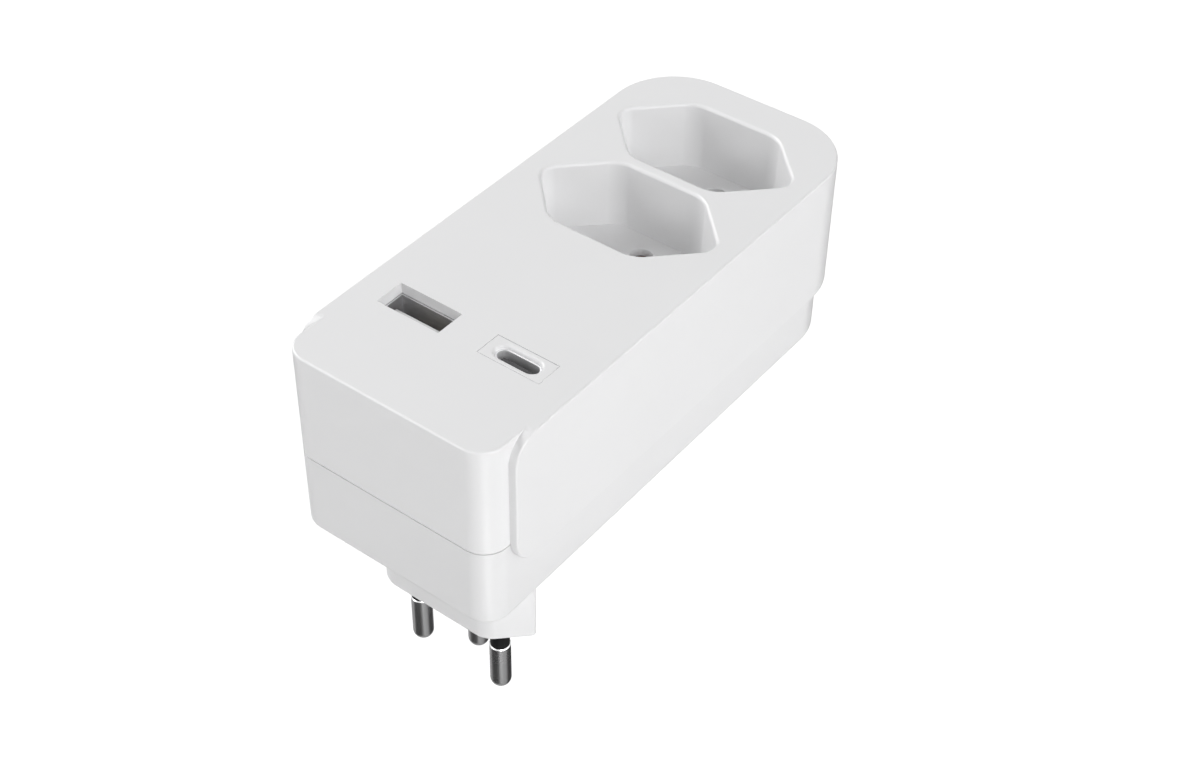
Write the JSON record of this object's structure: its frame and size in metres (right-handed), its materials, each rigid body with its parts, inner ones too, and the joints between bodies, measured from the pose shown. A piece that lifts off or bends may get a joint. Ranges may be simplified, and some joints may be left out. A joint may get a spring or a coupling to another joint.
{
  "type": "multi socket adapter",
  "caption": "White plug-in adapter that turns one wall socket into a pair of hexagonal socket outlets, with a wide and a slim USB charging port on top.",
  "frame": {"origin": "on the face of the plug boss, midway between the line and neutral pins", "axes": "+Z out of the sockets, away from the wall; +Y from the plug towards the sockets, along the body; +X to the right when the plug end is near and the sockets face up"},
  "size_m": [0.0468, 0.1084, 0.0768],
  "materials": {
    "shell_plastic": "smooth white moulded plastic with a soft gloss",
    "insert_plastic": "smooth white moulded plastic",
    "sleeve_plastic": "black moulded insulation",
    "pin_metal": "bright nickel plating",
    "brass_strip": "bare stamped strip",
    "carrier_plastic": "matt pale moulding",
    "screw_steel": "zinc plated",
    "board_laminate": "green lacquered laminate",
    "port_steel": "drawn and folded sheet",
    "port_plastic": "dark moulded insulation",
    "contact_plating": "gold plated",
    "ferrite": "dull sintered grey",
    "winding_tape": "yellow tape over the wire",
    "can_sleeve": "dark shrink sleeve",
    "disc_lacquer": "blue dipped lacquer",
    "resistor_lacquer": "green-grey lacquer",
    "chip_epoxy": "black moulded epoxy",
    "lead_red": "soft red insulation",
    "lead_blue": "soft blue insulation"
  },
  "bodies": {
    "root": {"top_cover": "shell_plastic", "base_shell": "shell_plastic", "contact_carrier": "carrier_plastic", "line_busbar": "brass_strip", "neutral_busbar": "brass_strip", "earth_busbar": "brass_strip", "line_pin": "pin_metal", "neutral_pin": "pin_metal", "earth_pin": "pin_metal", "line_pin_sleeve": "sleeve_plastic", "neutral_pin_sleeve": "sleeve_plastic", "housing_screws": "screw_steel", "usb_board": "board_laminate", "usb_a_shell": "port_steel", "usb_a_tongue": "port_plastic", "usb_a_contact_1": "contact_plating", "usb_a_contact_2": "contact_plating", "usb_a_contact_3": "contact_plating", "usb_a_contact_4": "contact_plating", "usb_c_shell": "port_steel", "usb_c_tongue": "port_plastic", "usb_c_insert": "insert_plastic", "transformer_core": "ferrite", "transformer_winding": "winding_tape", "input_capacitor_1": "can_sleeve", "input_capacitor_2": "can_sleeve", "output_capacitor": "can_sleeve", "suppression_capacitor": "disc_lacquer", "fusible_resistor": "resistor_lacquer", "bridge_rectifier": "chip_epoxy", "controller_chip": "chip_epoxy", "line_lead": "lead_red", "neutral_lead": "lead_blue"}
  },
  "joints": []
}
